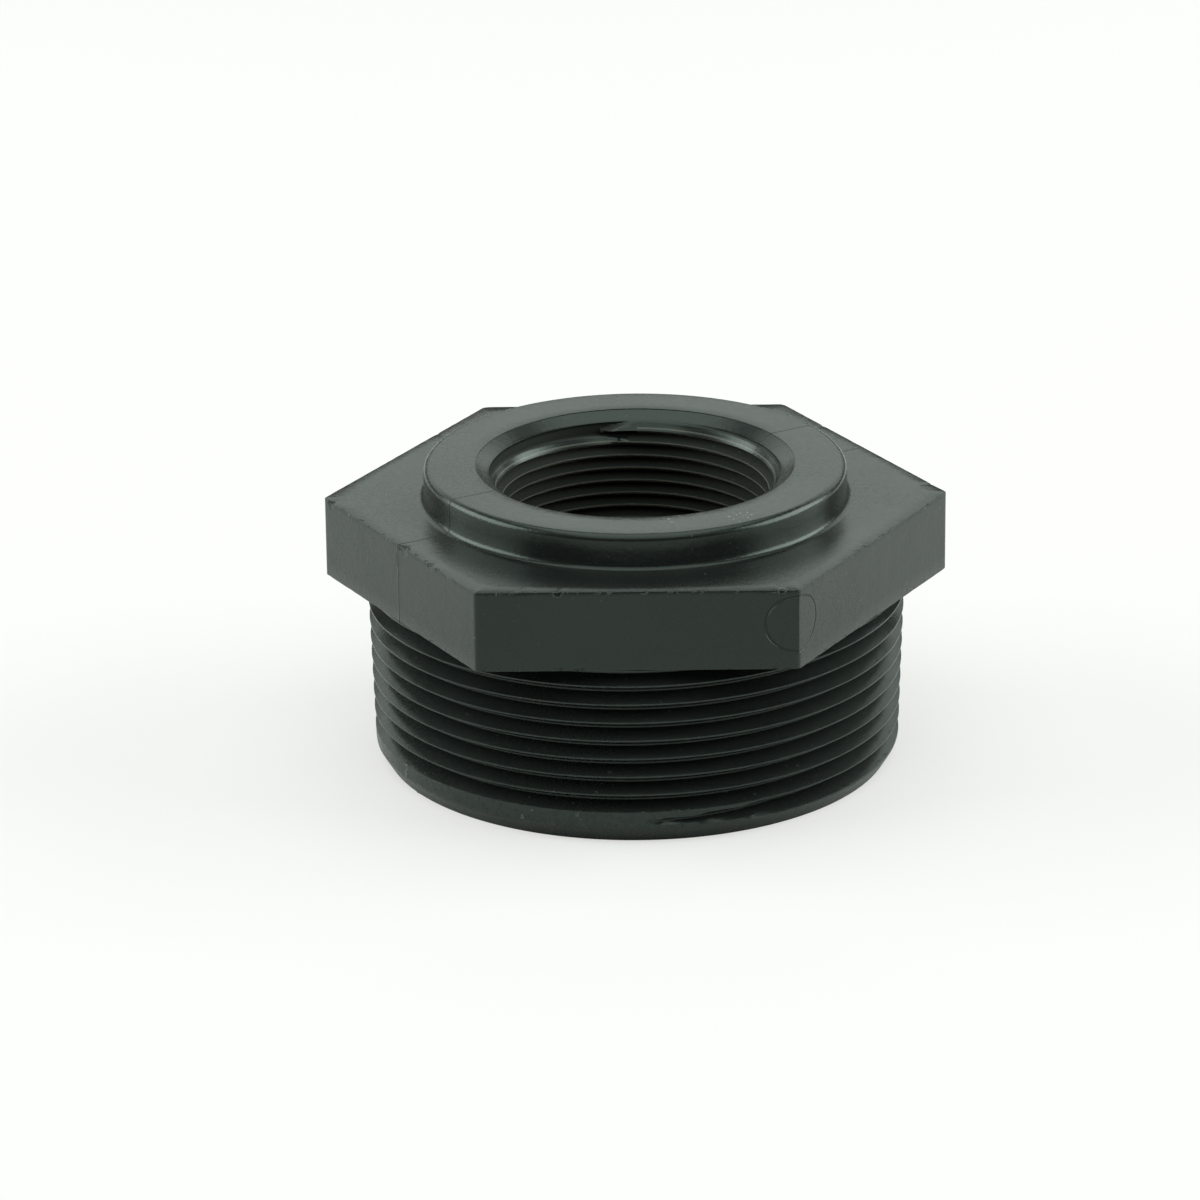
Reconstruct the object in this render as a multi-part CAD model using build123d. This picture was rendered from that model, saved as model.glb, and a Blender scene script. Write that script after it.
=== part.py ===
from build123d import *
from math import atan, cos, degrees, radians, sin, sqrt
import os

# Hex bushing, moulded in one piece. Millimetres, axis along Z, lower end at z = 0.
# The front of the piece faces -Y.

# Outer taper thread, 3 inch pipe size, eight turns to the inch
outer_pitch = 3.175
taper_rate = 1 / 32
outer_small_end_radius = 43.70
outer_thread_length = 30.5
outer_thread_depth = 2.4
outer_root_half_width = 0.12
outer_crest_height_at_front = 5.41
plain_band_height = 2.3
plain_band_step = 0.3
lead_chamfer = 1.5
lead_chamfer_height = 1.5

# Hexagonal flange
across_flats = 89.4
flange_thickness = 13.5
corner_radius = 0.9
flange_edge_softening = 0.2

# Raised collar round the mouth
collar_height = 5.9
collar_radius = 35.0
collar_round_over = 1.2
collar_foot_fillet = 0.8

# Inner taper thread, 1 1/2 inch pipe size, opening at the top
inner_crest_radius_at_mouth = 22.25
mouth_countersink_radius = 26.4
mouth_countersink_depth = 1.6
thread_run_in_radius = 24.3
thread_run_in_length = 3.1
inner_thread_length = 27.0

# Moulded chamber below the inner thread, drawn slightly wider towards its rim
chamber_radius = 33.2
chamber_draft = 0.5
chamber_shoulder_rise = 5.0
chamber_rim_chamfer = 0.8

# Round witness of the mould insert on the front right corner
insert_radius = 4.7
insert_height_above_flange_foot = 7.7
insert_corner_azimuth = -60

# Heights that follow from the sizes above
flange_foot = outer_thread_length
flange_top = flange_foot + flange_thickness
overall_height = flange_top + collar_height
outer_large_end_radius = outer_small_end_radius + flange_foot * taper_rate
run_in_top = overall_height - mouth_countersink_depth
inner_mouth_height = run_in_top - thread_run_in_length
inner_thread_foot = overall_height - inner_thread_length
inner_crest_radius_at_foot = inner_crest_radius_at_mouth - (inner_mouth_height - inner_thread_foot) * taper_rate
chamber_top = inner_thread_foot - chamber_shoulder_rise
chamber_rim_radius = chamber_radius + chamber_draft
corner_distance = across_flats / sqrt(3)

# Outer thread: a ridge wound on a cone of the root radius. It rises out of the plain band at the lower end
# and runs out inside the flange.
cone_angle = degrees(atan(taper_rate))
flank_foot = outer_pitch / 2 - outer_root_half_width
ridge_sink = 0.2
ridge_start_height = flank_foot + plain_band_step
ridge_end_height = flange_foot + 0.6 * flank_foot
front_azimuth = 270
ridge_start_azimuth = front_azimuth + (ridge_start_height - outer_crest_height_at_front) / outer_pitch * 360
ridge_path = Helix(
    pitch=outer_pitch,
    height=ridge_end_height - ridge_start_height,
    radius=outer_small_end_radius + ridge_start_height * taper_rate,
    cone_angle=cone_angle,
    center=(0, 0, ridge_start_height),
)
ridge_start = ridge_path @ 0
ridge_plane = Plane(origin=ridge_start, x_dir=(ridge_start.X, ridge_start.Y, 0), z_dir=ridge_path % 0)
ridge_outline = Polyline(
    (0, 0),
    (-outer_thread_depth - ridge_sink, -flank_foot),
    (-outer_thread_depth - ridge_sink, flank_foot),
    close=True,
)
ridge = sweep(ridge_plane * make_face(ridge_outline), path=ridge_path, is_frenet=True)

body_top = flange_foot + flange_edge_softening
band_radius = outer_small_end_radius - plain_band_step
root_radius = outer_small_end_radius - outer_thread_depth
root_outline = Polyline(
    (0, 0),
    (band_radius - lead_chamfer, 0),
    (band_radius + lead_chamfer_height * taper_rate, lead_chamfer_height),
    (band_radius + plain_band_height * taper_rate, plain_band_height),
    (root_radius + (plain_band_height + flank_foot) * taper_rate, plain_band_height + flank_foot),
    (root_radius + body_top * taper_rate, body_top),
    (0, body_top),
    close=True,
)
body = revolve(Plane.XZ * make_face(root_outline), Axis.Z) + ridge
body = Rot(0, 0, ridge_start_azimuth) * body

# Flange with softened corners, then its upper and lower rims
hexagon = RegularPolygon(radius=corner_distance, side_count=6)
sharp_flange = extrude(Pos(0, 0, flange_foot) * hexagon, flange_thickness)
flange = fillet(sharp_flange.edges().filter_by(Axis.Z), corner_radius)
rims = flange.edges().group_by(Axis.Z)[-1] + flange.edges().group_by(Axis.Z)[0]
flange = chamfer(rims, flange_edge_softening)

# Inside the insert witness the corner of the flange stays sharp
insert_azimuth = radians(insert_corner_azimuth)
insert_base = Plane(
    origin=(0, 0, flange_foot + insert_height_above_flange_foot),
    x_dir=(0, 0, 1),
    z_dir=(cos(insert_azimuth), sin(insert_azimuth), 0),
)
insert_pin = extrude(insert_base * Circle(insert_radius), corner_distance + corner_radius)
insert_core = Cylinder(corner_distance * 0.9, overall_height * 2)
witness = (sharp_flange & insert_pin) - insert_core

# Collar with a fillet at its foot and a rounded top edge, both drawn as short chords
chords = 3
collar_outline = [(0, flange_top - flange_thickness / 2), (collar_radius + collar_foot_fillet, flange_top - flange_thickness / 2)]
for step in range(chords + 1):
    angle = radians(90 * step / chords)
    out = collar_radius + collar_foot_fillet * (1 - sin(angle))
    collar_outline.append((out, flange_top + collar_foot_fillet * (1 - cos(angle))))
for step in range(chords + 1):
    angle = radians(90 * step / chords)
    out = collar_radius - collar_round_over * (1 - cos(angle))
    collar_outline.append((out, overall_height - collar_round_over * (1 - sin(angle))))
collar_outline.append((0, overall_height))
collar = revolve(Plane.XZ * make_face(Polyline(*collar_outline, close=True)), Axis.Z)

solid = body + flange + collar + witness

# Everything removed along the axis: countersink, run-in cone, crest envelope of the inner thread,
# shoulder and chamber
reach = 2.0
hollow_outline = Polyline(
    (0, -reach),
    (chamber_rim_radius + chamber_rim_chamfer + reach, -reach),
    (chamber_rim_radius, chamber_rim_chamfer),
    (chamber_radius, chamber_top),
    (inner_crest_radius_at_foot, inner_thread_foot),
    (inner_crest_radius_at_mouth, inner_mouth_height),
    (thread_run_in_radius, run_in_top),
    (mouth_countersink_radius, overall_height),
    (mouth_countersink_radius, overall_height + reach),
    (0, overall_height + reach),
    close=True,
)
solid -= revolve(Plane.XZ * make_face(hollow_outline), Axis.Z)

os.makedirs("parts", exist_ok=True)
export_step(solid, "parts/hex_bushing.step")
print("volume mm3", round(solid.volume), "box", solid.bounding_box().size)
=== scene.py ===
import math

import bpy
import numpy as np
from mathutils import Matrix, Vector


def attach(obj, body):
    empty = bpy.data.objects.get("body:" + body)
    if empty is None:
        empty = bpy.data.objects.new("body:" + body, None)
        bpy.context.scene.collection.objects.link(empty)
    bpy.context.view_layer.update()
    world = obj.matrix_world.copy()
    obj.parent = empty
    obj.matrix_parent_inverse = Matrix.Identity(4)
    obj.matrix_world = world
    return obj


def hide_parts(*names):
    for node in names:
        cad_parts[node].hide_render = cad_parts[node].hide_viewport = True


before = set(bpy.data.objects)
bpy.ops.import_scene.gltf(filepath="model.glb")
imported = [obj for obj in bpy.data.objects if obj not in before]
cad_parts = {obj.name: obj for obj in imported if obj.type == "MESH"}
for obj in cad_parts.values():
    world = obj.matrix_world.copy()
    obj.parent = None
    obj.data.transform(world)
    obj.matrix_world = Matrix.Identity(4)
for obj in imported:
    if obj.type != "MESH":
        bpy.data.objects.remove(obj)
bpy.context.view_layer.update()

# Sizes in millimetres, the same as in the solid where it has them.
# Lower end at z = 0, axis along Z, front towards -Y. Azimuths in degrees from +X.
MM = 0.001
TAPER = 1 / 32
FOOT = 30.5
TOP = 44.0
COLLAR_TOP = 49.9

# Outer thread. The crest's edge, the flank and where it turns ragged are in pitches from a root's middle,
# the groove's start and run-in in turns, the burr's azimuth and width in degrees, the rest in millimetres.
OUTER_PITCH = 3.175
OUTER_R0 = 43.70
OUTER_DEPTH = 2.45
OUTER_CREST_AT_SEAM = -0.14
OUTER_CREST_EDGE = 0.465
OUTER_FLANK = 0.428
OUTER_RAGGED_FROM = 0.44
OUTER_RAGGED = 0.022 * 1.5
OUTER_RUN_OUT = 0.7
GROOVE_START = 0.752
GROOVE_RUN_IN = 0.085
LEAD_RADIUS = 42.2
LEAD_HEIGHT = 2.6
LEAD_LIFT = 0.09
BURR_AZIMUTH = 211
BURR_WIDTH = 0.45
BURR_SIZE = 0.4
BURR_HEIGHT = 0.7

# Flange
FLAT = 89.4 / 2
FLAT_CLEAR = 0.06
CORNER_RADII = {0: 0.9, 60: 1.4, 120: 1.4, 180: 0.9, 240: 0.8, 300: 0.9}
RIM_SOFT = 0.1
TOP_RIM_LEAST = 0.02
TOP_RIM_RAGGED = 0.06
LOW_RIM_LEAST = 0.03
LOW_RIM_RAGGED = 0.08
RIDGE_SIZE = 0.015
RIDGE_WIDTH = 0.07
PARTING = 30
INSERT_CORNER = 300
INSERT_CORNER_RADIUS = 0.12
INSERT_Z = 38.2
INSERT_R = 4.7
INSERT_EDGE = 0.25
INSERT_ROW = 3.2
# Nicks along the upper rim: azimuth, depth
NICKS = [(212.5, 0.7), (254.1, 0.5), (297.3, 0.45), (182.3, 0.5), (4.4, 0.4), (224.0, 0.25),
         (247.0, 0.2), (327.0, 0.25), (342.0, 0.2), (46.0, 0.3), (83.0, 0.35), (137.0, 0.3)]
NICK_WIDTH = 0.45
# Spots of painted shade on the upper rim, at and near the nicks: azimuth, size, depth under the top
SHADE_SPOTS = [(212.6, 1.5, 0.25), (211.2, 1.0, 0.1), (223.6, 0.9, 0.15), (226.4, 0.8, 0.2), (254.1, 1.1, 0.1),
           (297.3, 0.9, 0.1), (182.5, 1.1, 0.5), (4.4, 0.9, 0.1), (83.0, 1.0, 0.1), (137.0, 0.9, 0.2)]

# Collar and mouth
COLLAR_R = 35.0
FOOT_FILLET = 1.05
FOOT_FILLET_STEPS = 6
ROUND_OVER = 1.2
ROUND_OVER_STEPS = 8
DISH = 0.04
DISH_OUTER_R = 31.5
DISH_INNER_R = 29.0
MOUTH_R = 26.4
MOUTH_STEP = 0.14
# Softened edges, as steps outwards and up from the sharp edge
MOUTH_EDGE = [(0.12, 0.0), (0.02, -0.03)]
BORE_TOP_EDGE = [(0.55, 0.35), (0.12, 0.12), (0.0, 0.0)]
# Scuffs on the collar's top: distance from the axis, azimuth, reach
SCUFFS = [(27.6, 282, 2.6), (31.3, 302, 3.2)]

# Inner thread, with the broad land on its last turn. The crest's half width, the flank and the land's upper
# edge, closing and edge width are in pitches, the land's start and tip in turns, its slope is the rise of
# the radius over that of the height, and the rest is in millimetres.
BORE_TOP = 48.42
INNER_PITCH = 2.2087
INNER_DEPTH = 1.9
INNER_FOOT = 22.9
INNER_R_TOP = 22.25
INNER_CREST_AT_SEAM = 44.748
INNER_CREST_HALF = 0.035
INNER_FLANK = 0.425
INNER_RUN_OUT = 1.2
LAND_START = 0.247
LAND_ROOT = 0.95
LAND_SLOPE = 0.8
LAND_TIP = 0.042
LAND_UPPER_EDGE = 0.35
LAND_CLOSING = 0.7
LAND_EDGE_WIDTH = 0.26

# Lower side
CHAMBER_TOP = 17.9
CHAMBER_R = 33.2
RIM_R = 33.7
RIM_CHAMFER = 0.8
LOWER_FACE_R = 38.5
BORE_FOOT_EDGE = [(0.0, 0.0), (0.6, -0.25)]
CHAMBER_EDGE = [(-1.0, 0.55), (-0.2, -0.2), (0.02, -1.0)]

# Columns and rows of the grids. Thread rows are phases of one pitch, 0 on a crest.
EVEN_COLUMNS = 236
AROUND_CORNER = (-1.3, -0.8, -0.5, -0.25, 0, 0.25, 0.5, 0.8, 1.3)
AROUND_PARTING = (-0.12, 0, 0.12)
AROUND_NICK = (-0.5, 0, 0.5)
LAND_COLUMNS = np.arange(84, 110, 0.45)
COLUMN_GAP = 0.35
OUTER_ROWS = [0, 0.035, 0.17, 0.32, 0.463, 0.537, 0.68, 0.83, 0.965]
INNER_ROWS = [0, 0.035, 0.17, 0.26, 0.35, 0.46, 0.54, 0.69, 0.83, 0.965]
SHARP_ANGLE = 27


def smooth(t):
    """3 t^2 - 2 t^3, with t kept between 0 and 1."""
    t = np.clip(t, 0, 1)
    return t * t * (3 - 2 * t)


def wobble(angle, seed, orders):
    """Sum of sines of the azimuth with fixed random phases, within about -1 to 1, closed round the turn."""
    phases = np.random.default_rng(seed).uniform(0, 2 * math.pi, len(orders))
    total = sum(np.sin(n * angle + p) for n, p in zip(orders, phases))
    return total / len(orders) ** 0.5 / 1.2


def columns():
    """Azimuths in radians: an even set, closer together at the corners, the parting
    plane, the nicks and the start of the inner thread's land."""
    even = np.arange(EVEN_COLUMNS) * 360 / EVEN_COLUMNS
    extra = [corner + d for corner in range(0, 360, 60) for d in AROUND_CORNER]
    extra += [side + d for side in (PARTING, PARTING + 180) for d in AROUND_PARTING]
    extra += [nick[0] + d for nick in NICKS for d in AROUND_NICK]
    extra += list(LAND_COLUMNS)
    extra = np.array(extra) % 360
    gap = np.abs((even[:, None] - extra[None, :] + 180) % 360 - 180).min(1)
    return np.radians(np.unique(np.round(np.concatenate([even[gap > COLUMN_GAP], extra]), 4)))


AZ = columns()
N = len(AZ)
DEG = np.degrees(AZ)
TURN = AZ / (2 * math.pi)


def away_from(bearing, period=360):
    """Degrees of each column past a bearing that comes back every period, within half a period."""
    return (DEG - bearing + period / 2) % period - period / 2


def hex_radius(flat, sharpness):
    """Distance to the side of a hexagon with rounded corners, for each azimuth.
    r = flat / cos(30 - |t|) on a side, r = c cos t + sqrt(rho^2 - c^2 sin^2 t) on a corner of radius rho,
    with c = (flat - rho) / cos 30 and t the angle from the nearest corner."""
    half = math.radians(30)
    t = np.radians((DEG + 30) % 60 - 30)
    corner = (np.round(DEG / 60).astype(int) * 60) % 360
    rho = np.array([CORNER_RADII[c] for c in corner])
    insert_rho = rho * (1 - sharpness) + INSERT_CORNER_RADIUS * sharpness
    rho = np.where(corner == INSERT_CORNER, insert_rho, rho)
    c = (flat - rho) / math.cos(half)
    limit = np.arctan2(rho * 0.5, c + rho * math.cos(half))
    arc = c * np.cos(t) + np.sqrt(np.maximum(rho ** 2 - (c * np.sin(t)) ** 2, 0))
    side = flat / np.cos(half - np.abs(t))
    return np.where(np.abs(t) < limit, arc, side)


def outer_radius(z, turn):
    """Outer taper thread. The phase is the height over a crest in pitches, less the turn: 0 on a crest,
    0.5 in a root. r = R0 + z/32 - depth f(phase) g(groove), f a trapezoid and g the run-in of the first
    groove, and never more than the radius of the lead cone."""
    crest = OUTER_R0 + z * TAPER
    phase = (z - OUTER_CREST_AT_SEAM) / OUTER_PITCH - turn
    groove = np.floor(phase + 1e-6)
    away = np.abs(phase - groove - 0.5)
    f = np.clip((OUTER_CREST_EDGE - away) / OUTER_FLANK, 0, 1)
    run_in = np.clip((groove + turn - GROOVE_START) / GROOVE_RUN_IN, 0, 1)
    run_out = smooth((FOOT - z) / OUTER_RUN_OUT)
    angle = turn * 2 * math.pi
    ragged = OUTER_RAGGED * wobble(angle + 0.9 * groove, 3, (31, 67, 113, 151))
    ragged = ragged * (away > OUTER_RAGGED_FROM)
    radius = crest - OUTER_DEPTH * np.maximum(f - (1 - run_in * run_out), 0) - np.maximum(ragged, 0)
    burr = BURR_SIZE * np.exp(-((turn * 360 - BURR_AZIMUTH) / BURR_WIDTH) ** 2)
    burr = burr * np.clip(1 - z / BURR_HEIGHT, 0, 1)
    lead = burr + LEAD_RADIUS + (OUTER_R0 - LEAD_RADIUS + LEAD_LIFT) * z / LEAD_HEIGHT
    return np.minimum(radius, lead)


def inner_radius(z, turn):
    """Inner taper thread. The phase is the height over a crest in pitches, less the turn, and d its
    distance from the crest. r = R0 - (top - z)/32 + depth f(d). The last turn has a broad conical land
    in place of its crest, r = R0 - (top - z)/32 + root + slope pitch d, that starts and ends within a
    few degrees. Above its end there is only the groove."""
    crest = INNER_R_TOP - (BORE_TOP - z) * TAPER
    phase = (z - INNER_CREST_AT_SEAM) / INNER_PITCH - turn
    k = np.floor(phase + 0.5 + 1e-6)
    d = phase - k
    along = k + turn
    f = np.clip((np.abs(d) - INNER_CREST_HALF) / INNER_FLANK, 0, 1)
    run_out = smooth((z - INNER_FOOT) / INNER_RUN_OUT)
    thread = INNER_DEPTH * np.maximum(f - (1 - run_out), 0)
    begin = smooth((along - LAND_START) / LAND_TIP)
    thread = np.maximum(thread, begin * (LAND_ROOT + LAND_SLOPE * INNER_PITCH * d))
    end = np.clip((along - LAND_START - 1) / LAND_TIP, 0, 1)
    above = smooth((d - LAND_UPPER_EDGE + LAND_CLOSING * end) / LAND_EDGE_WIDTH) * (end > 0)
    thread = thread + (INNER_DEPTH - thread) * np.where(end >= 1, 1, above)
    return crest + thread


class Shell:
    """A closed surface put together from grids over azimuth that all have the same columns."""

    def __init__(self):
        self.points = []
        self.tris = []
        self.count = 0

    def add_grid(self, r, z, shift, inwards):
        """Point (r cos a, r sin a, z) for each row and azimuth a, two triangles between four points.
        Column 0 continues the last column, moved up by shift rows."""
        rows = r.shape[0]
        self.points.append(np.stack([r * np.cos(AZ), r * np.sin(AZ), z], -1).reshape(-1, 3))
        row, column = np.meshgrid(np.arange(rows - 1), np.arange(N), indexing="ij")
        last = column == N - 1
        after = (column + 1) % N
        low = np.where(last, np.minimum(row + shift, rows - 1), row)
        high = np.where(last, np.minimum(row + 1 + shift, rows - 1), row + 1)
        a = self.count + row * N + column
        b = self.count + low * N + after
        c = self.count + high * N + after
        d = self.count + (row + 1) * N + column
        tris = np.concatenate([np.stack(three, -1).reshape(-1, 3) for three in ((a, b, c), (a, c, d))])
        self.tris.append(tris[:, ::-1] if inwards else tris)
        self.count += rows * N

    def add_helix(self, z0, z1, pitch, crest_at_seam, phases, radius, inwards):
        """Rows that climb with the thread: z = clip(crest + pitch (k + phase_j + turn), z0, z1)."""
        start = crest_at_seam + pitch * (math.floor((z0 - crest_at_seam) / pitch) - 1)
        turns = int(math.ceil((z1 - start) / pitch)) + 1
        steps = np.array([k + p for k in range(turns) for p in phases])
        z = np.clip(start + pitch * (steps[:, None] + TURN[None, :]), z0, z1)
        self.add_grid(radius(z, np.broadcast_to(TURN, z.shape)), z, len(phases), inwards)

    def add_rows(self, rows):
        """Plain rows: each is a radius and a height, numbers or arrays over azimuth."""
        r = np.array([np.broadcast_to(row[0], N) for row in rows], float)
        z = np.array([np.broadcast_to(row[1], N) for row in rows], float)
        self.add_grid(r, z, 0, False)

    def make_mesh(self, name):
        """Merges the points that lie together, drops the triangles with no area, turns the faces
        outwards by the sign of the volume, and marks the edges sharper than SHARP_ANGLE."""
        points = np.concatenate(self.points)
        tris = np.concatenate(self.tris)
        key, inverse = np.unique(np.round(points, 4), axis=0, return_inverse=True)
        tris = inverse.reshape(-1)[tris]
        keep = (tris[:, 0] != tris[:, 1]) & (tris[:, 1] != tris[:, 2]) & (tris[:, 2] != tris[:, 0])
        tris = tris[keep]
        first, second, third = (key[tris[:, corner]] for corner in range(3))
        volume = np.einsum("ij,ij->i", first, np.cross(second, third)).sum() / 6
        if volume < 0:
            tris = tris[:, ::-1]
        print(name, "triangles", len(tris), "volume mm3", round(abs(volume)))
        mesh = bpy.data.meshes.new(name)
        mesh.vertices.add(len(key))
        mesh.vertices.foreach_set("co", (key / 1000).astype(np.float32).reshape(-1))
        mesh.loops.add(len(tris) * 3)
        mesh.loops.foreach_set("vertex_index", tris.astype(np.int32).reshape(-1))
        mesh.polygons.add(len(tris))
        mesh.polygons.foreach_set("loop_start", np.arange(0, len(tris) * 3, 3, dtype=np.int32))
        mesh.polygons.foreach_set("use_smooth", np.ones(len(tris), dtype=bool))
        mesh.update(calc_edges=True)
        mesh.validate()
        mesh.set_sharp_from_angle(angle=math.radians(SHARP_ANGLE))
        return mesh


def quarter_circle(steps):
    """Angles in radians from 0 to a right angle."""
    return [math.radians(90 * step / (steps - 1)) for step in range(steps)]


def softened(radius, height, edge):
    """Rows along an edge's steps from its sharp corner."""
    return [(radius + out, height + up) for out, up in edge]


def flange_rows():
    """Underside from the foot of the thread, hexagonal sides with softened ragged rims, and the flat top.
    A rim stands back by least + ragged * wobble, where that is more, and by depth exp(-(away / width)^2)
    at each nick. The parting line is a ridge of the same bell shape."""
    rough_top = TOP_RIM_LEAST + TOP_RIM_RAGGED * np.maximum(wobble(AZ, 5, (37, 59, 83, 127, 139)), 0)
    for bearing, depth in NICKS:
        rough_top = rough_top + depth * np.exp(-(away_from(bearing) / NICK_WIDTH) ** 2)
    rough_low = LOW_RIM_LEAST + LOW_RIM_RAGGED * np.maximum(wobble(AZ, 6, (41, 61, 97, 131)), 0)
    ridge = RIDGE_SIZE * np.exp(-(away_from(PARTING, 180) / RIDGE_WIDTH) ** 2)
    plain = hex_radius(FLAT - FLAT_CLEAR, 0.0)
    top_soft = RIM_SOFT + rough_top
    low_soft = RIM_SOFT + rough_low
    r_foot = outer_radius(np.full(N, FOOT), TURN)

    rows = [(r_foot, FOOT), (r_foot * 0.5 + plain * 0.5, FOOT), (plain - RIM_SOFT - rough_low, FOOT)]
    rows.append((plain - 0.3 * low_soft, FOOT + 0.3 * low_soft))
    rows.append((plain + ridge, FOOT + RIM_SOFT + rough_low))
    above = (INSERT_ROW, INSERT_R, INSERT_R + INSERT_EDGE)
    below = [-rise for rise in reversed(above)]
    for rise in [*below, 0, *above]:
        inside = 1.0 if abs(rise) <= INSERT_R else 0.0
        rows.append((hex_radius(FLAT - FLAT_CLEAR, inside) + ridge, INSERT_Z + rise))
    rows.append((plain + ridge, TOP - RIM_SOFT - rough_top))
    rows.append((plain - 0.3 * top_soft, TOP - 0.3 * top_soft))
    rows.append((plain - RIM_SOFT - rough_top, TOP))
    for t in (0.25, 0.5, 0.75):
        rows.append((plain * (1 - t) + (COLLAR_R + FOOT_FILLET) * t, TOP))
    return rows


def collar_rows():
    """Foot fillet, r = R + fillet (1 - sin a) and z = top + fillet (1 - cos a), the wall, the round-over,
    r = R - round (1 - cos a) and z = collar top - round (1 - sin a), both with a from 0 to a right angle,
    then the slightly dished face, the softened mouth and the countersink down to the thread."""
    rows = []
    for a in quarter_circle(FOOT_FILLET_STEPS):
        rows.append((COLLAR_R + FOOT_FILLET * (1 - math.sin(a)), TOP + FOOT_FILLET * (1 - math.cos(a))))
    rows.append((COLLAR_R, (TOP + COLLAR_TOP) / 2))
    for a in quarter_circle(ROUND_OVER_STEPS):
        rows.append((COLLAR_R - ROUND_OVER * (1 - math.cos(a)), COLLAR_TOP - ROUND_OVER * (1 - math.sin(a))))
    dished = COLLAR_TOP - DISH
    rows.append((DISH_OUTER_R, COLLAR_TOP - 0.75 * DISH))
    rows.append((DISH_INNER_R, dished))
    rows += softened(MOUTH_R, dished, MOUTH_EDGE)
    rows.append((MOUTH_R, dished - MOUTH_STEP))
    rows += softened(inner_radius(np.full(N, BORE_TOP), TURN), BORE_TOP, BORE_TOP_EDGE)
    return rows


def chamber_rows():
    """Shoulder under the inner thread, chamber with draft, chamfered rim and the lower face."""
    rows = softened(inner_radius(np.full(N, INNER_FOOT), TURN), INNER_FOOT, BORE_FOOT_EDGE)
    rows += softened(CHAMBER_R, CHAMBER_TOP, CHAMBER_EDGE)
    for t in (0.33, 0.66):
        rows.append((CHAMBER_R + t * (RIM_R - CHAMBER_R), CHAMBER_TOP * (1 - t)))
    rows.append((RIM_R, RIM_CHAMFER))
    rows.append((RIM_R + RIM_CHAMFER, 0.0))
    rows.append((LOWER_FACE_R, 0.0))
    rows.append((outer_radius(np.zeros(N), TURN), 0.0))
    return rows


def make_bushing():
    """The whole moulding as one closed surface."""
    shell = Shell()
    shell.add_helix(0.0, FOOT, OUTER_PITCH, OUTER_CREST_AT_SEAM, OUTER_ROWS, outer_radius, False)
    shell.add_helix(INNER_FOOT, BORE_TOP, INNER_PITCH, INNER_CREST_AT_SEAM, INNER_ROWS, inner_radius, True)
    shell.add_rows(flange_rows() + collar_rows())
    shell.add_rows(chamber_rows())
    bushing = bpy.data.objects.new("bushing", shell.make_mesh("bushing"))
    bpy.context.scene.collection.objects.link(bushing)
    return bushing


class Paint:
    """The nodes of one material. Each method adds nodes and gives back their output.
    A number may stand wherever an output may. Lengths given to the _mm methods are millimetres."""

    def __init__(self, name):
        self.material = bpy.data.materials.new(name)
        self.material.use_nodes = True
        self.tree = self.material.node_tree
        self.shader = self.tree.nodes["Principled BSDF"]

    def read_place(self):
        """Place on the object, in metres, whole and as x, y and z."""
        self.place = self.tree.nodes.new("ShaderNodeTexCoord").outputs["Object"]
        split = self.tree.nodes.new("ShaderNodeSeparateXYZ")
        self.tree.links.new(self.place, split.inputs[0])
        self.x, self.y, self.z = split.outputs

    def put(self, value, socket):
        """Sets a socket to a number or colour, or joins an output to it."""
        if isinstance(value, (int, float, tuple)):
            socket.default_value = value
        else:
            self.tree.links.new(value, socket)

    def maths(self, operation, *values):
        node = self.tree.nodes.new("ShaderNodeMath")
        node.operation = operation
        for socket, value in zip(node.inputs, values):
            self.put(value, socket)
        return node.outputs[0]

    def times(self, first, *others):
        for other in others:
            first = self.maths("MULTIPLY", first, other)
        return first

    def plus(self, first, *others):
        for other in others:
            first = self.maths("ADD", first, other)
        return first

    def minus(self, first, second):
        return self.maths("SUBTRACT", first, second)

    def scaled_plus(self, value, factor, base):
        return self.maths("MULTIPLY_ADD", value, factor, base)

    def larger(self, first, *others):
        for other in others:
            first = self.maths("MAXIMUM", first, other)
        return first

    def size_of(self, value):
        return self.maths("ABSOLUTE", value)

    def over(self, value, limit):
        return self.maths("GREATER_THAN", value, limit)

    def under(self, value, limit):
        return self.maths("LESS_THAN", value, limit)

    def length(self, *parts):
        return self.maths("SQRT", self.plus(*[self.times(part, part) for part in parts]))

    def fade(self, value, low, high, to_low=0.0, to_high=1.0):
        """Smooth step from to_low at low to to_high at high."""
        node = self.tree.nodes.new("ShaderNodeMapRange")
        node.interpolation_type = "SMOOTHSTEP"
        self.put(value, node.inputs["Value"])
        node.inputs["From Min"].default_value = low
        node.inputs["From Max"].default_value = high
        node.inputs["To Min"].default_value = to_low
        node.inputs["To Max"].default_value = to_high
        return node.outputs["Result"]

    def rise_mm(self, value, low, high):
        """Smooth step from 0 up to 1 between two lengths."""
        return self.fade(value, low * MM, high * MM)

    def fall_mm(self, value, low, high, least=0.0):
        """Smooth step from 1 down to the least between two lengths."""
        return self.fade(value, low * MM, high * MM, 1.0, least)

    def noise(self, scale, detail=3.0, rough=0.55):
        node = self.tree.nodes.new("ShaderNodeTexNoise")
        node.inputs["Scale"].default_value = scale
        node.inputs["Detail"].default_value = detail
        node.inputs["Roughness"].default_value = rough
        self.tree.links.new(self.place, node.inputs["Vector"])
        return node.outputs["Fac"]

    def mix(self, factor, first, second):
        node = self.tree.nodes.new("ShaderNodeMix")
        node.data_type = "RGBA"
        self.put(factor, node.inputs["Factor"])
        self.put(first, node.inputs[6])
        self.put(second, node.inputs[7])
        return node.outputs[2]

    def turned(self, bearing):
        """Distance along a bearing from the axis, and distance to the left of it."""
        cos, sin = math.cos(math.radians(bearing)), math.sin(math.radians(bearing))
        along = self.plus(self.times(self.x, cos), self.times(self.y, sin))
        across = self.plus(self.times(self.x, -sin), self.times(self.y, cos))
        return along, across


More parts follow.
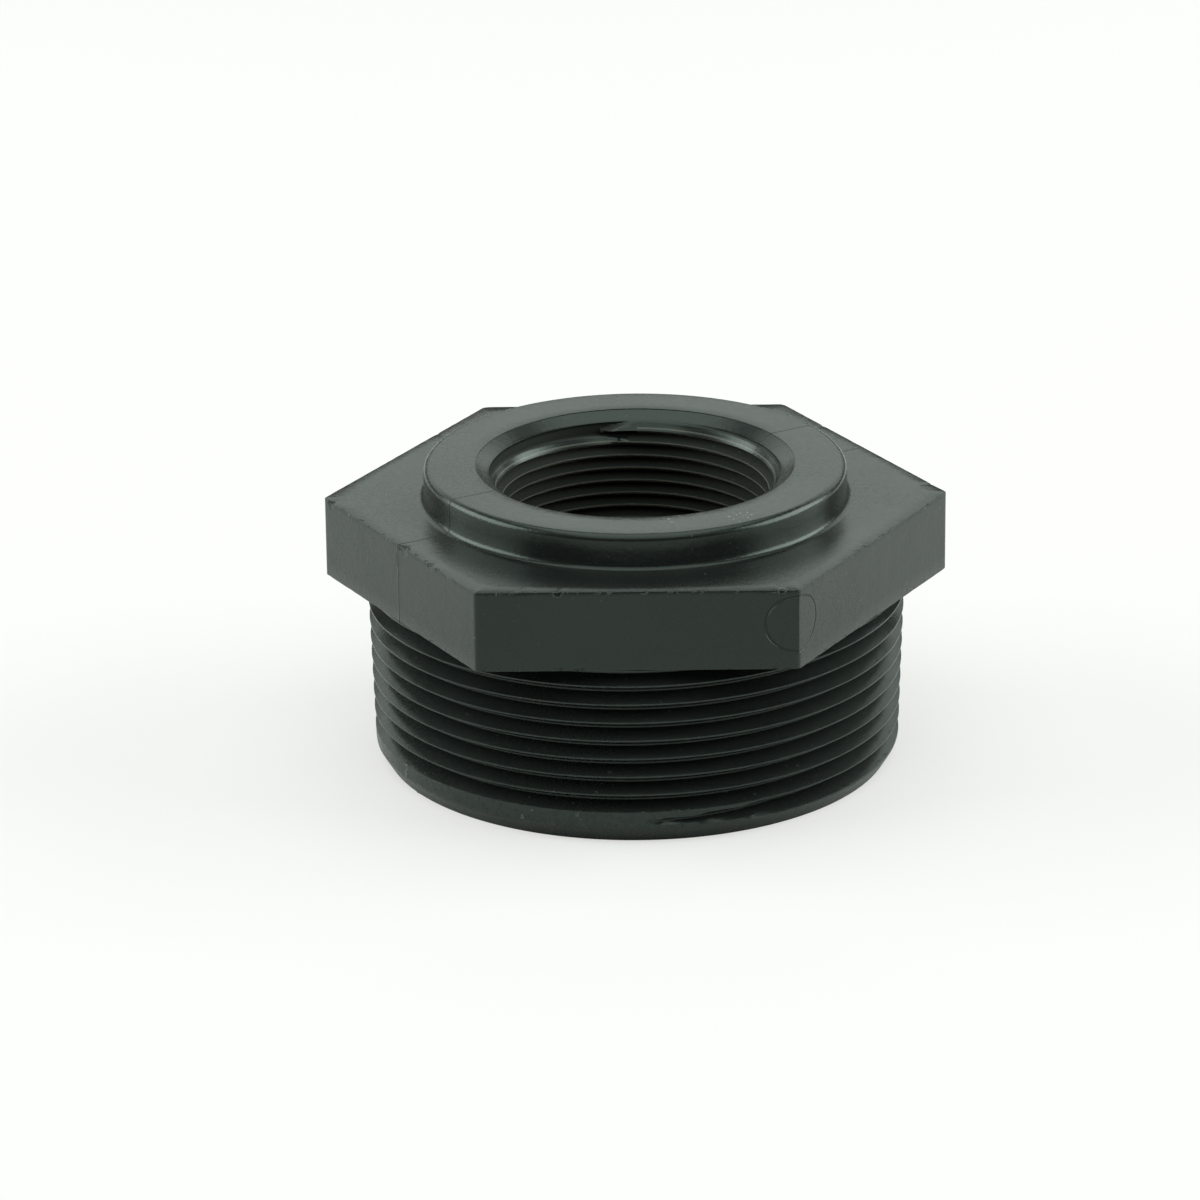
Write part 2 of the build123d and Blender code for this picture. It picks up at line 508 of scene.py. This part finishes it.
# Colours of the moulding
SKIN_DARK = (0.0064, 0.0076, 0.0073, 1)
SKIN_PALE = (0.0096, 0.011, 0.0106, 1)
THREAD_SKIN = (0.0078, 0.009, 0.0087, 1)
# Lighter crests of the outer thread: partly wear, partly a painted highlight
WORN_CREST_HIGHLIGHT = (0.022, 0.026, 0.0245, 1)
MOULD_LINE = (0.004, 0.004, 0.004, 1)
TORN_FLASH = (0.085, 0.095, 0.09, 1)
# Painted shade in the rims' nicks and in dark flecks along the rims
PAINTED_RIM_SHADE = (0.003, 0.003, 0.003, 1)
PALE_BURR = (0.075, 0.085, 0.08, 1)
# Bore flanks: a dark brown, then painted light that lifts them towards the roots, lower down and under the
# crests, where shade falls
FLANK_DEEP = (0.003, 0.0028, 0.0022, 1)
FLANK_ROOT_PAINTED_LIGHT = (0.016, 0.0143, 0.0117, 1)
UNDER_CREST_PAINTED_LIGHT = (0.2, 0.18, 0.147, 1)
# Painted highlight along the inner thread's crest lines
INNER_CREST_HIGHLIGHT = (0.075, 0.072, 0.064, 1)
DUST = (0.12, 0.12, 0.115, 1)
CRUMBS = (0.32, 0.33, 0.31, 1)
SPECULAR_TINT = (0.86, 1.0, 0.92, 1)
REFRACTION = 1.41

# Grain of the patterns, per metre
FINE_GRAIN = 4200.0
SKIN_GRAIN = 1100.0
CLOUD_GRAIN = 90.0
FLOW_GRAIN = 28.0
SPECK_GRAIN = 1500.0
NICK_GRAIN = 620.0
BURR_GRAIN = 980.0
SHADE_SPOT_GRAIN = 1400.0
FLASH_GRAIN = 260.0
LINT_GRAIN = 1300.0

# Where marks begin and where they are full, or the other way round, in millimetres
LINE_EDGE = (0.05, 0.14)
LINE_WANDER = 0.25
LINE_LOWER_END = (FOOT - 0.5, FOOT)
SMEAR_SPREAD = 0.4
SMEAR_LOWER_END = (39.8, 40.6)
SMEAR_UPPER_END = (42.2, 42.7)
SMEAR_RIGHT_END = (-30, -28)
RING_EDGE = (0.07, 0.26)
RING_FROM_AXIS = (42, 42.5)
# Bands along the flange's rims where painted shade and pale burrs go
SIDE_RIM_BAND = (FLAT - 0.7, FLAT - 0.3)
TOP_RIM_BAND = (TOP - 0.6, TOP - 0.2)
FOOT_RIM_BAND = (FOOT + 0.2, FOOT + 0.6)
FOOT_RIM_BAND_LOWER_END = (FOOT - 0.6, FOOT - 0.4)
SHADE_SPOT_EDGE = 0.35
BORE_SIDE = (24.3, 24.7)
BORE_MOUTH = (47.8, 48.4)
# Painted light in the bore: depth at which the flank colour lifts towards the roots, and its fade towards
# the mouth
ROOT_PAINTED_LIGHT_DEPTH = (0.2, 1.7)
ROOT_PAINTED_LIGHT_FADE = (41, 47.5)
ROOT_PAINTED_LIGHT_LEAST = 0.15
# Where the outer crests are painted lighter, as wear and as a painted highlight
CREST_WEAR_AND_HIGHLIGHT = (-0.16, -0.02)
CREST_WEAR_AND_HIGHLIGHT_TOP = (FOOT - 0.2, FOOT)
THREAD_TOP = (FOOT - 0.4, FOOT - 0.1)
FLASH_DEPTH = (-0.4, -0.2)
FLASH_LOWER_END = (2.6, 3.0)
FLASH_UPPER_END = (6.2, 6.6)
COLLAR_FACE = (COLLAR_TOP - 0.2, COLLAR_TOP - 0.1)
SKIN_RELIEF = 0.06

# The same along the inner thread's height, in pitches from a crest
LAND_LOWER_SIDE = (-0.185, -0.165)
LAND_UPPER_SIDE = (0.342, 0.36)
LAND_END_SHIFT = 0.6
CREST_LINE_EDGE = (INNER_CREST_HALF, 0.06)
# Side under each inner crest, where painted light goes
UNDER_CREST = (-0.12, -0.04)


def mould_lines(paint, cloud):
    """Parting plane above the flange's foot, a hair wide and wandering slightly, with a smear near the left
    corner, and the ring left by the round insert on its corner."""
    _, side = paint.turned(PARTING)
    side = paint.plus(side, paint.times(paint.minus(cloud, 0.5), LINE_WANDER * MM))
    smear = paint.times(paint.rise_mm(paint.z, *SMEAR_LOWER_END), paint.fall_mm(paint.z, *SMEAR_UPPER_END))
    smear = paint.times(smear, paint.fall_mm(paint.x, *SMEAR_RIGHT_END))
    off_plane = paint.scaled_plus(smear, -SMEAR_SPREAD * MM, paint.size_of(side))
    parting = paint.times(paint.fall_mm(off_plane, *LINE_EDGE), paint.rise_mm(paint.z, *LINE_LOWER_END))
    along, across = paint.turned(INSERT_CORNER)
    reach = paint.length(across, paint.minus(paint.z, INSERT_Z * MM))
    off_ring = paint.size_of(paint.minus(reach, INSERT_R * MM))
    ring = paint.times(paint.fall_mm(off_ring, *RING_EDGE), paint.rise_mm(along, *RING_FROM_AXIS))
    return paint.larger(paint.times(parting, 0.85), ring)


def rim_shade_and_burrs(paint):
    """Painted shade in flecks along the two rims of the flange and in spots at the nicks, and pale burrs
    along the rims.
    """
    half_y = paint.times(paint.y, 0.5)
    wide_x = paint.times(paint.x, math.cos(math.radians(30)))
    sides = (paint.y, paint.plus(wide_x, half_y), paint.minus(wide_x, half_y))
    flat = paint.larger(*[paint.size_of(side) for side in sides])
    near_foot = paint.fall_mm(paint.z, *FOOT_RIM_BAND)
    near_foot = paint.times(near_foot, paint.rise_mm(paint.z, *FOOT_RIM_BAND_LOWER_END))
    rim = paint.larger(paint.rise_mm(paint.z, *TOP_RIM_BAND), near_foot)
    rim = paint.times(paint.rise_mm(flat, *SIDE_RIM_BAND), rim)
    # Flecks of painted shade along the rims
    nicks = paint.times(rim, paint.fade(paint.noise(NICK_GRAIN), 0.61, 0.66))
    burrs = paint.times(rim, paint.fade(paint.noise(BURR_GRAIN, 2.0), 0.63, 0.7))
    ragged = paint.noise(SHADE_SPOT_GRAIN)
    # Spots of painted shade at the nicks
    for bearing, size, sink in SHADE_SPOTS:
        reach = FLAT / math.cos(math.radians(30 - abs((bearing + 30) % 60 - 30)))
        along, across = paint.turned(bearing)
        gap = paint.length(paint.minus(along, reach * MM), across, paint.minus(paint.z, (TOP - sink) * MM))
        gap = paint.scaled_plus(ragged, -size * MM, gap)
        nicks = paint.larger(nicks, paint.fall_mm(gap, 0.0, SHADE_SPOT_EDGE * size))
    return nicks, burrs


def bore_masks(paint, radius):
    """Where the surface is the inner thread: inside the bore, on the flanks, on the crest's edge, which gets
    a painted highlight, on the side under the crest, which gets painted light, and how far painted light
    lifts the flank towards the roots and lower in the bore. off_crest is the height over the nearest crest
    in pitches and along the number of turns up the thread, both as in inner_radius."""
    in_bore = paint.times(paint.fall_mm(radius, *BORE_SIDE), paint.fall_mm(paint.z, *BORE_MOUTH))
    crest_cone = paint.scaled_plus(paint.z, TAPER, (INNER_R_TOP - BORE_TOP * TAPER) * MM)
    depth = paint.minus(radius, crest_cone)
    # Painted light: lighter towards the groove roots and lower in the bore, where shade falls
    root_painted_light = paint.times(paint.rise_mm(depth, *ROOT_PAINTED_LIGHT_DEPTH), paint.fall_mm(paint.z, *ROOT_PAINTED_LIGHT_FADE, ROOT_PAINTED_LIGHT_LEAST))
    angle = paint.maths("ARCTAN2", paint.y, paint.x)
    turns = paint.maths("FRACT", paint.scaled_plus(angle, 0.5 / math.pi, 1.0))
    phase = paint.scaled_plus(paint.z, 1 / (INNER_PITCH * MM), -INNER_CREST_AT_SEAM / INNER_PITCH)
    phase = paint.minus(phase, turns)
    nearest = paint.maths("FLOOR", paint.plus(phase, 0.5))
    off_crest = paint.minus(phase, nearest)
    along = paint.plus(nearest, turns)
    land_end = LAND_START + 1
    ending = paint.fade(along, land_end, land_end + LAND_TIP, 0.0, LAND_END_SHIFT)
    land = paint.times(paint.fade(off_crest, *LAND_LOWER_SIDE),
                       paint.fade(paint.plus(off_crest, ending), *LAND_UPPER_SIDE, 1.0, 0.0),
                       paint.over(along, LAND_START + 0.01), paint.under(along, land_end + LAND_TIP))
    before_end = paint.under(along, land_end)
    # Crest lines of the inner thread, where a painted highlight goes
    edge = paint.times(paint.fade(paint.size_of(off_crest), *CREST_LINE_EDGE, 1.0, 0.0), before_end)
    flank = paint.times(in_bore, paint.minus(1.0, paint.larger(land, edge)))
    # Painted light on the side under each crest, which faces down into shade
    under_crest = paint.times(paint.fade(off_crest, *UNDER_CREST, 1.0, 0.0), before_end)
    return in_bore, flank, paint.times(in_bore, edge), under_crest, root_painted_light


def outer_thread_masks(paint, radius):
    """Below the flange, on the crests of the outer thread, which are painted lighter, partly as wear and
    partly as a painted highlight, and on the torn flash along its first crest. over_cone is the distance out
    from the cone of the crests."""
    over_cone = paint.minus(radius, paint.scaled_plus(paint.z, TAPER, OUTER_R0 * MM))
    below = paint.fall_mm(paint.z, *THREAD_TOP)
    on_crest = paint.times(paint.rise_mm(over_cone, *CREST_WEAR_AND_HIGHLIGHT), paint.fall_mm(paint.z, *CREST_WEAR_AND_HIGHLIGHT_TOP))
    first = paint.times(paint.fall_mm(paint.z, *FLASH_UPPER_END), paint.rise_mm(paint.z, *FLASH_LOWER_END))
    first = paint.times(first, paint.rise_mm(over_cone, *FLASH_DEPTH))
    torn = paint.times(first, paint.fade(paint.noise(FLASH_GRAIN, 4.0), 0.62, 0.66))
    return below, on_crest, torn


def scuffs(paint):
    """Pale crumbs round each scuff's middle on the collar's top, fewer towards its reach."""
    lint = paint.fade(paint.noise(LINT_GRAIN, 4.0, 0.7), 0.6, 0.68)
    on_top = paint.rise_mm(paint.z, *COLLAR_FACE)
    masks = []
    for distance, bearing, reach in SCUFFS:
        along, across = paint.turned(bearing)
        gap = paint.length(paint.minus(along, distance * MM), across)
        masks.append(paint.times(lint, paint.fall_mm(gap, reach * 0.5, reach), on_top))
    return masks


def moulded_black():
    """Black moulded polypropylene: fine orange-peel skin, mould lines, outer crests lighter as wear and as a
    painted highlight, painted shade at the rims' nicks and pale burrs, a duller and faintly brown bore with
    painted light towards its roots and under its crests and a painted highlight on its crest lines, faint
    dust. Each colour is mixed over the one before by its own mask."""
    paint = Paint("moulded_black")
    paint.read_place()
    paint.shader.inputs["IOR"].default_value = REFRACTION
    paint.shader.inputs["Specular Tint"].default_value = SPECULAR_TINT
    radius = paint.length(paint.x, paint.y)
    fine = paint.noise(FINE_GRAIN, 2.0)
    skin = paint.noise(SKIN_GRAIN, 4.0)
    cloud = paint.noise(CLOUD_GRAIN, 4.0)
    flow = paint.noise(FLOW_GRAIN, 5.0, 0.62)
    specks = paint.fade(paint.noise(SPECK_GRAIN, 1.0), 0.74, 0.8)
    lines = mould_lines(paint, cloud)
    nicks, burrs = rim_shade_and_burrs(paint)
    below, on_crest, torn = outer_thread_masks(paint, radius)
    in_bore, flank, crest_highlight, under_crest, root_painted_light = bore_masks(paint, radius)

    colour = paint.mix(cloud, SKIN_DARK, SKIN_PALE)
    colour = paint.mix(below, colour, THREAD_SKIN)
    # Outer crests painted lighter: partly wear, partly a painted highlight
    colour = paint.mix(paint.times(on_crest, paint.fade(skin, 0.3, 0.7, 0.35, 0.9)), colour, WORN_CREST_HIGHLIGHT)
    colour = paint.mix(paint.times(lines, 0.9), colour, MOULD_LINE)
    colour = paint.mix(paint.times(torn, 0.5), colour, TORN_FLASH)
    # Painted shade in the rims' nicks and along the rims
    colour = paint.mix(nicks, colour, PAINTED_RIM_SHADE)
    colour = paint.mix(paint.times(burrs, 0.45), colour, PALE_BURR)
    # Bore flanks: dark brown with painted light towards the roots and under the crests
    tint = paint.mix(under_crest, paint.mix(root_painted_light, FLANK_DEEP, FLANK_ROOT_PAINTED_LIGHT), UNDER_CREST_PAINTED_LIGHT)
    colour = paint.mix(flank, colour, tint)
    # Painted highlight on the inner crest lines
    colour = paint.mix(paint.times(crest_highlight, 0.9), colour, INNER_CREST_HIGHLIGHT)
    colour = paint.mix(paint.times(specks, 0.35), colour, DUST)
    for crumbs in scuffs(paint):
        colour = paint.mix(crumbs, colour, CRUMBS)
    paint.put(colour, paint.shader.inputs["Base Color"])

    rough = paint.scaled_plus(flow, 0.18, 0.11)
    for mask, amount in ((skin, 0.12), (lines, 0.2), (flank, 0.5), (below, 0.03)):
        rough = paint.scaled_plus(mask, amount, rough)
    paint.put(rough, paint.shader.inputs["Roughness"])

    height = paint.scaled_plus(skin, 0.55, paint.times(fine, 0.3))
    height = paint.scaled_plus(cloud, 2.4, height)
    height = paint.times(height, paint.scaled_plus(in_bore, -0.75, 1.0))
    for mask, amount in ((lines, -4.0), (nicks, -5.0), (burrs, 2.0), (torn, 3.0)):
        height = paint.scaled_plus(mask, amount, height)
    bump = paint.tree.nodes.new("ShaderNodeBump")
    bump.inputs["Strength"].default_value = 0.8
    bump.inputs["Distance"].default_value = SKIN_RELIEF * MM
    paint.put(height, bump.inputs["Height"])
    paint.put(bump.outputs["Normal"], paint.shader.inputs["Normal"])
    return paint.material


def paper():
    """Matt white paper. The camera sees it partly as an even white, and partly lit, with its shadow."""
    paint = Paint("paper")
    paint.shader.inputs["Base Color"].default_value = (0.66, 0.646, 0.646, 1)
    paint.shader.inputs["Roughness"].default_value = 0.95
    paint.shader.inputs["Specular IOR Level"].default_value = 0.0
    even_white = paint.tree.nodes.new("ShaderNodeEmission")
    even_white.inputs["Color"].default_value = (0.945, 0.935, 0.92, 1)
    ray = paint.tree.nodes.new("ShaderNodeLightPath")
    blend = paint.tree.nodes.new("ShaderNodeMixShader")
    paint.put(paint.times(ray.outputs["Is Camera Ray"], 0.6), blend.inputs[0])
    paint.put(paint.shader.outputs[0], blend.inputs[1])
    paint.put(even_white.outputs[0], blend.inputs[2])
    paint.put(blend.outputs[0], paint.tree.nodes["Material Output"].inputs["Surface"])
    return paint.material


def make_floor(half=4):
    """A square sheet at z = 0."""
    mesh = bpy.data.meshes.new("floor")
    corners = [(-half, -half, 0), (half, -half, 0), (half, half, 0), (-half, half, 0)]
    mesh.from_pydata(corners, [], [(0, 1, 2, 3)])
    mesh.materials.append(paper())
    floor = bpy.data.objects.new("floor", mesh)
    bpy.context.scene.collection.objects.link(floor)
    return floor


# Soft lamps: place in metres, width and height in metres, watts. All look at LIT_POINT.
LIT_POINT = (0, 0, 0.03)
LAMP_TINT = (0.91, 1.0, 0.94)
LAMPS = {
    "back_soft": ((0.0, 1.5, 0.87), 3.0, 1.0, 12.8),
    "left_soft": ((-1.15, 0.05, 0.5), 1.2, 0.85, 19),
    "right_soft": ((1.15, 0.05, 0.5), 1.2, 0.85, 20.5),
    "top_soft": ((0.0, 0.0, 1.6), 1.8, 1.8, 22),
    "front_high_soft": ((0.0, -1.0, 1.15), 1.5, 0.45, 4.0),
}
WORLD_STRENGTH = 0.05


def make_lamps():
    """The soft lamps and a dim white world."""
    for name, (place, width, height, power) in LAMPS.items():
        data = bpy.data.lights.new(name, "AREA")
        data.shape = "RECTANGLE"
        data.size = width
        data.size_y = height
        data.energy = power
        data.color = LAMP_TINT
        lamp = bpy.data.objects.new(name, data)
        lamp.location = place
        lamp.rotation_euler = (Vector(LIT_POINT) - Vector(place)).to_track_quat("-Z", "Y").to_euler()
        bpy.context.scene.collection.objects.link(lamp)
    world = bpy.data.worlds.new("studio")
    world.use_nodes = True
    world.node_tree.nodes["Background"].inputs["Color"].default_value = (1, 1, 1, 1)
    world.node_tree.nodes["Background"].inputs["Strength"].default_value = WORLD_STRENGTH
    bpy.context.scene.world = world


# Camera, from the photograph's perspective: focal length in the photograph's pixels, distance in
# millimetres from the middle of the flange's top, and angles in degrees
PHOTO_WIDTH = 1200
SENSOR_WIDTH = 36
FOCUS = 6184.57
DISTANCE = 1024.03
ELEVATION = 20.1884
YAW = -0.3353
PITCH = -0.9711
ROLL = -0.4933
VIEW_TURN = 0.1923


def make_camera():
    """Looks at the flange's middle from its elevation, then turns by the yaw, pitch and roll about its own
    axes, and last by the view's turn about the part's axis."""
    elevation, yaw, pitch, roll = [math.radians(v) for v in (ELEVATION, YAW, PITCH, ROLL)]
    outwards = np.array([0, -math.cos(elevation), math.sin(elevation)])
    ahead = -outwards
    right = np.array([1.0, 0, 0])
    up = np.cross(right, ahead)
    ahead = ahead * math.cos(yaw) + right * math.sin(yaw)
    right = np.cross(ahead, up)
    ahead = ahead * math.cos(pitch) + up * math.sin(pitch)
    up = np.cross(right, ahead)
    right, up = right * math.cos(roll) + up * math.sin(roll), up * math.cos(roll) - right * math.sin(roll)
    place = outwards * DISTANCE * MM + np.array([0, 0, TOP * MM])
    pose = Matrix([(right[i], up[i], -ahead[i], place[i]) for i in range(3)] + [(0, 0, 0, 1)])
    data = bpy.data.cameras.new("camera")
    data.sensor_width = SENSOR_WIDTH
    data.lens = FOCUS / PHOTO_WIDTH * SENSOR_WIDTH
    data.clip_start = 0.01
    camera = bpy.data.objects.new("camera", data)
    camera.matrix_world = Matrix.Rotation(math.radians(-VIEW_TURN), 4, "Z") @ pose
    bpy.context.scene.collection.objects.link(camera)
    bpy.context.scene.camera = camera


bushing = make_bushing()
bushing.data.materials.append(moulded_black())
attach(bushing, "root")
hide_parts("hex_bushing")
make_floor()
make_lamps()
make_camera()
bpy.context.scene.view_settings.view_transform = "Standard"
